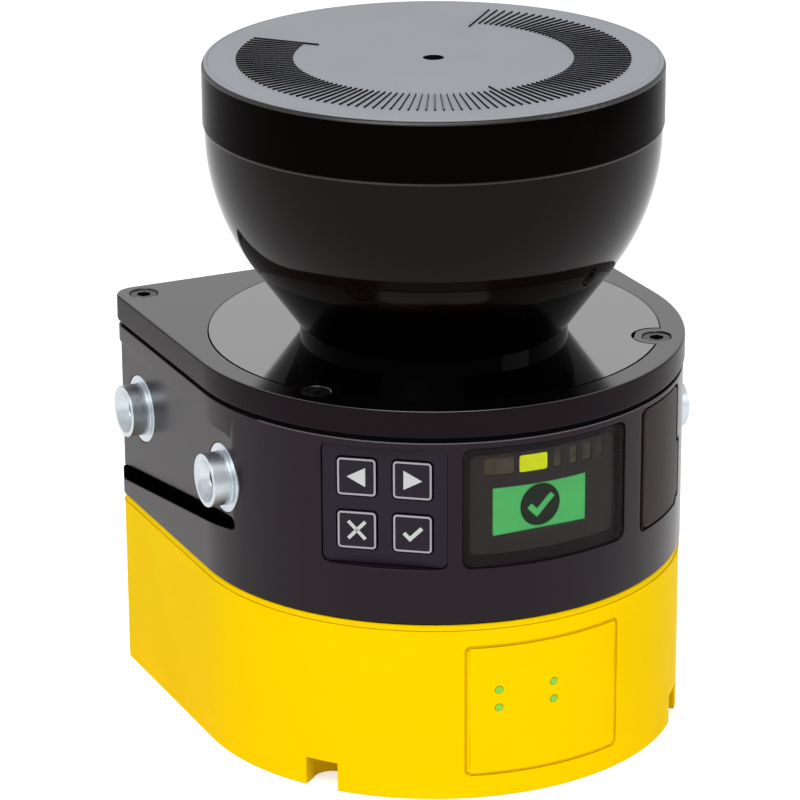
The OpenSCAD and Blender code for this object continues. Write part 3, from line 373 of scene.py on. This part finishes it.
def paint(node, material, z=None, radius=None, up=None, front=None):
    """Give some faces of a node a material.

    They are the faces with their middle inside the ranges of height and radius and in front of
    a depth, all in m, and with the upward part of their normal inside the range up.
    """
    tree = bpy.data.node_groups.new(node + "_paint", "GeometryNodeTree")
    for in_out in ("INPUT", "OUTPUT"):
        tree.interface.new_socket("Geometry", in_out=in_out, socket_type="NodeSocketGeometry")
    n, link = tree.nodes, tree.links.new

    def math_node(kind, *values):
        m = n.new("ShaderNodeMath")
        m.operation = kind
        for socket, v in zip(m.inputs, values):
            if isinstance(v, (int, float)):
                socket.default_value = v
            else:
                link(v, socket)
        return m.outputs[0]

    def axes(kind):
        split = n.new("ShaderNodeSeparateXYZ")
        link(n.new(kind).outputs[0], split.inputs[0])
        return split.outputs

    def between(value, span):
        return [math_node("GREATER_THAN", value, span[0]), math_node("LESS_THAN", value, span[1])]

    x, y, height = axes("GeometryNodeInputPosition")
    tests = []
    if z:
        tests += between(height, z)
    if radius:
        square = math_node("ADD", math_node("POWER", x, 2.0), math_node("POWER", y, 2.0))
        tests += between(math_node("SQRT", square), radius)
    if front is not None:
        tests.append(math_node("LESS_THAN", y, front))
    if up:
        tests += between(axes("GeometryNodeInputNormal")[2], up)
    chosen = tests[0]
    for test in tests[1:]:
        chosen = math_node("MULTIPLY", chosen, test)
    start, end = n.new("NodeGroupInput"), n.new("NodeGroupOutput")
    put = n.new("GeometryNodeSetMaterial")
    put.inputs["Material"].default_value = M[material]
    link(start.outputs[0], put.inputs["Geometry"])
    link(chosen, put.inputs["Selection"])
    link(put.outputs[0], end.inputs[0])
    NODES[node].modifiers.new("paint", "NODES").node_group = tree


# The flat round flange
paint("optics_cover", "flange", z=(LID_TOP - 0.0002, LID_TOP + 0.0002), up=FACING_UP)
# The neck above it and the cone, up to where the sphere starts, darker: a painted reflection
paint("optics_cover", "cone", z=(LID_TOP + 0.0003, CONE_TOP), radius=(0.0285, 0.0405),
      up=OVERHANGING)
# The sides of the lid
paint("lid_frame", "lid_side", up=UPRIGHT_OR_DOWN)
# Painted sheen: a paler, duller cap plastic on the rounded edge of the cap, outside the disc
paint("hood_cap", "cap_edge", z=(DISC_TOP - CAP_EDGE_H, DISC_TOP), radius=(0.0488, 0.052),
      up=SLOPING_UP)


# ---------------------------------------------------------------- soft edges on the moulded parts

WELD_GAP = 0.00002      # m
FLAT_ANGLE = 0.4        # degrees: facets flatter than this become one face
ROUND_ANGLE = 35        # degrees: edges sharper than this are rounded
CRISP_ANGLE = 30        # degrees: edges sharper than this stay sharp


def weld(obj):
    obj.modifiers.new("weld", "WELD").merge_threshold = WELD_GAP
    for p in obj.data.polygons:
        p.use_smooth = True


def soften(obj, width):
    """Weld the CAD facets, round the real edges a little and shade the rest smooth."""
    weld(obj)
    flat = obj.modifiers.new("flat", "DECIMATE")
    flat.decimate_type = "DISSOLVE"
    flat.angle_limit = math.radians(FLAT_ANGLE)
    bevel = obj.modifiers.new("round", "BEVEL")
    bevel.width = width
    bevel.segments = 2
    bevel.limit_method = "ANGLE"
    bevel.angle_limit = math.radians(ROUND_ANGLE)
    bevel.use_clamp_overlap = False
    smooth = obj.modifiers.new("smooth", "WEIGHTED_NORMAL")
    smooth.keep_sharp = False
    smooth.weight = 100


def crisp(obj, angle=CRISP_ANGLE):
    """Shade turned forms smooth and keep the edges sharper than an angle."""
    weld(obj)
    split = obj.modifiers.new("split", "EDGE_SPLIT")
    split.split_angle = math.radians(angle)
    split.use_edge_sharp = False


# Width of the rounded edges in mm
ROUNDED = {
    "base_housing": 0.3, "main_housing": 0.22, "lid_frame": 0.5, "usb_cap": 0.12,
    "keypad_panel": 0.12, "key_left": 0.15, "key_right": 0.15, "key_cancel": 0.15,
    "key_confirm": 0.15, "display_window": 0.2, "side_bushes_left": 0.2,
    "side_bushes_right": 0.2, "side_strips": 0.2,
}
for node, width in ROUNDED.items():
    soften(NODES[node], width * MM)
for node in ("optics_cover", "hood_cap", "lid_screws", "ready_led", "status_leds"):
    crisp(NODES[node])

# Painted highlight: paler faces made by rounding the main housing's upper edge, at the front
paint("main_housing", "edge", z=(GASKET_Z - 0.0006, GASKET_Z + 0.0001), up=BEVELLED,
      front=EDGE_FRONT_Y)


# ---------------------------------------------------------------- prints, as thin raised shapes

def add_mesh(name, verts, faces, mat, body):
    """A new piece from points in mm, on a body."""
    mesh = bpy.data.meshes.new(name)
    mesh.from_pydata([tuple(c * MM for c in v) for v in verts], [], faces)
    mesh.update()
    obj = bpy.data.objects.new(name, mesh)
    bpy.context.scene.collection.objects.link(obj)
    mesh.materials.append(M[mat])
    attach(obj, body)
    return obj


def place(angle, d, t, z):
    """A point at distance d from the scan axis, t along the tangent, on the face at an angle."""
    a = math.radians(angle)
    return (d * math.sin(a) + t * math.cos(a), -d * math.cos(a) + t * math.sin(a), z)


def keypad_point(col, row):
    """The map from a key's own plane to the part, for a key left or right and above or below."""
    return lambda x, z, d: place(KEYPAD_ANGLE, d, col * KEY_PITCH / 2 + x,
                                 FACE_Z + row * KEY_PITCH / 2 + z)


def lcd_point(x, z, d):
    return place(DISPLAY_ANGLE, d, LCD_X + x, LCD_Z + z)


def rounded(size, r, steps=5):
    """Outline of a square with round corners."""
    pts = []
    for cx, cz, a0 in ((1, 1, 0), (-1, 1, 90), (-1, -1, 180), (1, -1, 270)):
        for i in range(steps + 1):
            a = math.radians(a0 + 90 * i / steps)
            pts.append((cx * (size / 2 - r) + r * math.cos(a),
                        cz * (size / 2 - r) + r * math.sin(a)))
    return pts


def ring_faces(n):
    """Faces between two outlines of n points each."""
    return [(i, (i + 1) % n, n + (i + 1) % n, n + i) for i in range(n)]


def bar(p, q, w):
    """Quad of width w from p to q."""
    dx, dz = q[0] - p[0], q[1] - p[1]
    k = w / 2 / math.hypot(dx, dz)
    nx, nz = -dz * k, dx * k
    return [(p[0] - nx, p[1] - nz), (q[0] - nx, q[1] - nz),
            (q[0] + nx, q[1] + nz), (p[0] + nx, p[1] + nz)]


def tick(size, w):
    """Outline of a check mark with square ends, centred."""
    a = (-0.40 * size, 0.02 * size)
    b = (-0.12 * size, -0.26 * size)
    c = (0.44 * size, 0.30 * size)
    k = w / math.sqrt(2)
    return [(a[0] - k / 2, a[1] - k / 2), (b[0], b[1] - k), (c[0] + k / 2, c[1] - k / 2),
            (c[0] - k / 2, c[1] + k / 2), (b[0], b[1] + k), (a[0] + k / 2, a[1] + k / 2)]


def print_shape(name, points, flat_faces, front, rise, to_3d, mat, body):
    """A flat shape as a closed slab, from under the face at distance front to just above it."""
    n = len(points)
    verts = [to_3d(x, z, front + rise) for x, z in points]
    verts += [to_3d(x, z, front - PRINT_SUNK) for x, z in points]
    faces = [tuple(f) for f in flat_faces]
    faces += [tuple(n + i for i in reversed(f)) for f in flat_faces]
    edges = [pair for f in flat_faces for pair in zip(f, f[1:] + f[:1])]
    faces += [(b, a, n + a, n + b) for a, b in edges if (b, a) not in edges]
    add_mesh(name, verts, faces, mat, body)


TICK_FACES = [(0, 1, 4, 5), (1, 2, 3, 4)]
# The frame of a key: how far each outline lies inside the key, and its corner radius
FRAME = [p for inset, r in ((0.15, 0.8), (0.95, 0.45)) for p in rounded(KEY_W - inset, r)]
# The keys: column and row, points of the sign and its faces
KEYS = {
    "key_left": (-1, 1, [(-2.1, 0), (1.9, -2.15), (1.9, 2.15)], [(0, 1, 2)]),
    "key_right": (1, 1, [(-1.9, 2.15), (-1.9, -2.15), (2.1, 0)], [(0, 1, 2)]),
    "key_cancel": (-1, -1, bar((-1.85, -1.95), (1.85, 1.95), 0.75)
                   + bar((-1.85, 1.95), (1.85, -1.95), 0.75), [(0, 1, 2, 3), (4, 5, 6, 7)]),
    "key_confirm": (1, -1, tick(4.6, 0.85), TICK_FACES),
}
for key, (col, row, sign, sign_faces) in KEYS.items():
    to_3d = keypad_point(col, row)
    print_shape(key + "_frame", FRAME, ring_faces(len(FRAME) // 2), KEY_FRONT, PRINT_RISE,
                to_3d, "line", key)
    print_shape(key + "_symbol", sign, sign_faces, KEY_FRONT, PRINT_RISE,
                to_3d, "print", key)

# The round sign of the display, with a check mark on it
LCD_DISC = [(0.1 + 4.75 * math.cos(math.radians(a)), 4.75 * math.sin(math.radians(a)))
            for a in range(0, 360, 6)]
LCD_MARK = [(0.15 + x, -0.1 + z) for x, z in tick(6.6, 1.35)]
print_shape("lcd_disc", LCD_DISC, [tuple(range(len(LCD_DISC)))], LCD_FRONT, PRINT_RISE,
            lcd_point, "icon_dark", "body")
print_shape("lcd_check", LCD_MARK, TICK_FACES, LCD_FRONT, MARK_RISE,
            lcd_point, "lcd", "body")


# ---------------------------------------------------------------- scale disc with raised ribs

def turned(profile):
    """Points and faces of a closed profile of radius and height, turned about the scan axis."""
    k = len(profile)
    turn = [math.radians(360 * i / TURN_STEPS) for i in range(TURN_STEPS)]
    verts = [(r * math.cos(a), r * math.sin(a), z) for a in turn for r, z in profile]
    faces = []
    for i in range(TURN_STEPS):
        here, after = i * k, (i + 1) % TURN_STEPS * k
        faces += [(here + j, after + j, after + (j + 1) % k, here + (j + 1) % k)
                  for j in range(k)]
    return verts, faces


def second_material(obj, material, period, chosen):
    """Give one face of each period of faces a second material."""
    obj.data.materials.append(M[material])
    for i, polygon in enumerate(obj.data.polygons):
        polygon.material_index = 1 if i % period == chosen else 0


def scale_disc():
    """The grey disc on the cap: a turned face with a fine line at its rim and a hole painted dark
    as shade.
    """
    top = DISC_TOP / MM
    face = top - RIB_H
    line = face - 0.12
    profile = [
        (DISC_HOLE_R, top - 1.8), (DISC_HOLE_R, face - 0.1), (2.4, face),
        (48.6, face), (48.7, line), (48.85, line), (48.95, face),
        (49.35, face), (DISC_R, face - 0.2), (DISC_R, top - 0.8),
        (DISC_SKIRT_R, top - 0.8), (DISC_SKIRT_R, top - 1.8),
    ]
    verts, faces = turned(profile)
    disc = add_mesh("scale_face", verts, faces, "scale", "body")
    # The wall of the centre hole takes the painted shade
    second_material(disc, "tick", len(profile), 0)
    crisp(disc, 25)
    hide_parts("scale_disc")


def scale_ribs():
    """The 111 ribs of the scale: pale tops and flanks painted dark as shade, with three longer
    ones.
    """
    top = DISC_TOP / MM
    # Height, half width and how far the ends stand out, from the foot up
    levels = ((top - RIB_H - 0.1, RIB_W / 2, 0.06), (top - 0.05, RIB_TOP / 2 + 0.02, 0.0),
              (top, RIB_TOP / 2, -0.05))
    verts, faces = [], []
    for i in range(-RIB_HALF, RIB_HALF + 1):
        a = math.radians(-90 + i * RIB_PITCH)
        inner = RIB_LONG if i in (-RIB_HALF, 0, RIB_HALF) else RIB_IN
        b = len(verts)
        for z, half, draw in levels:
            for r, t in ((inner - draw, -half), (RIB_OUT + draw, -half),
                         (RIB_OUT + draw, half), (inner - draw, half)):
                verts.append((r * math.cos(a) - t * math.sin(a),
                              r * math.sin(a) + t * math.cos(a), z))
        faces += [(b + 3, b + 2, b + 1, b), (b + 8, b + 9, b + 10, b + 11)]
        for low in (b, b + 4):
            faces += [(low + j, low + (j + 1) % 4, low + 4 + (j + 1) % 4, low + 4 + j)
                      for j in range(4)]
    # The flanks and feet take the painted shade, the tops the grey of the scale
    ribs = add_mesh("scale_ribs", verts, faces, "tick", "body")
    second_material(ribs, "scale", 10, 1)


def hood_rim():
    """The thin bead on the upper edge of the hood, just under the cap, a painted highlight line.
    """
    profile = [(49.5, CAP_Z - 0.85), (49.74, CAP_Z - 0.8), (49.92, CAP_Z - 0.6),
               (49.92, CAP_Z - 0.4), (49.74, CAP_Z - 0.2), (49.5, CAP_Z - 0.15)]
    verts, faces = turned(profile)
    bead = add_mesh("hood_rim", verts, faces, "hood_rim", "body")
    for p in bead.data.polygons:
        p.use_smooth = True


scale_disc()
scale_ribs()
hood_rim()


# ---------------------------------------------------------------- studio

def seen(tree):
    """1 for rays that look at, mirror or pass to a surface, 0 for rays that light it."""
    path = tree.nodes.new("ShaderNodeLightPath")
    total = path.outputs["Is Camera Ray"]
    for name in ("Is Glossy Ray", "Is Transmission Ray"):
        add = tree.nodes.new("ShaderNodeMath")
        add.operation = "ADD"
        add.use_clamp = True
        tree.links.new(total, add.inputs[0])
        tree.links.new(path.outputs[name], add.inputs[1])
        total = add.outputs[0]
    return total


def floor_material():
    """A matt pale floor that glows a little where it is seen, and keeps its shadows."""
    mat = bpy.data.materials.new("studio_white")
    mat.use_nodes = True
    tree = mat.node_tree
    n, link = tree.nodes, tree.links.new
    n.clear()
    out = n.new("ShaderNodeOutputMaterial")
    diffuse = n.new("ShaderNodeBsdfDiffuse")
    diffuse.inputs["Color"].default_value = grey(FLOOR_GREY)
    glow = n.new("ShaderNodeEmission")
    gain = n.new("ShaderNodeMath")
    gain.operation = "MULTIPLY"
    gain.inputs[1].default_value = FLOOR_GLOW
    add = n.new("ShaderNodeAddShader")
    link(seen(tree), gain.inputs[0])
    link(gain.outputs[0], glow.inputs["Strength"])
    link(diffuse.outputs[0], add.inputs[0])
    link(glow.outputs[0], add.inputs[1])
    link(add.outputs[0], out.inputs["Surface"])
    return mat


def stage():
    mesh = bpy.data.meshes.new("floor")
    s = FLOOR_HALF
    mesh.from_pydata([(-s, -s, 0), (s, -s, 0), (s, s, 0), (-s, s, 0)], [], [(0, 1, 2, 3)])
    floor = bpy.data.objects.new("floor", mesh)
    bpy.context.scene.collection.objects.link(floor)
    mesh.materials.append(floor_material())


def world():
    """White where it is seen or mirrored, and a softer light for the rest."""
    studio = bpy.data.worlds.new("studio")
    bpy.context.scene.world = studio
    studio.use_nodes = True
    tree = studio.node_tree
    n, link = tree.nodes, tree.links.new
    n.clear()
    out = n.new("ShaderNodeOutputWorld")
    bg = n.new("ShaderNodeBackground")
    mix = n.new("ShaderNodeMix")
    mix.data_type = "FLOAT"
    mix.inputs["A"].default_value = AMBIENT
    mix.inputs["B"].default_value = 1.0
    link(seen(tree), mix.inputs["Factor"])
    link(mix.outputs["Result"], bg.inputs["Strength"])
    link(bg.outputs[0], out.inputs["Surface"])


def lamp(name, at, target, size, power):
    """A square lamp at a point, turned to another; metres and watts."""
    data = bpy.data.lights.new(name, "AREA")
    data.shape = "SQUARE"
    data.size = size
    data.energy = power
    obj = bpy.data.objects.new(name, data)
    bpy.context.scene.collection.objects.link(obj)
    obj.location = at
    obj.rotation_euler = (Vector(target) - Vector(at)).to_track_quat("-Z", "Y").to_euler()


camera()
stage()
world()
lamp("key_light", (-0.7, -0.5, 0.9), (0, 0, 0.07), 0.7, 6)
lamp("fill_light", (0.9, -0.8, 0.5), (0, 0, 0.07), 0.6, 3.2)
lamp("top_light", (-0.2, -0.42, 1.15), (0, 0, 0.1), 0.8, 5.5)
bpy.context.scene.view_settings.view_transform = "Standard"
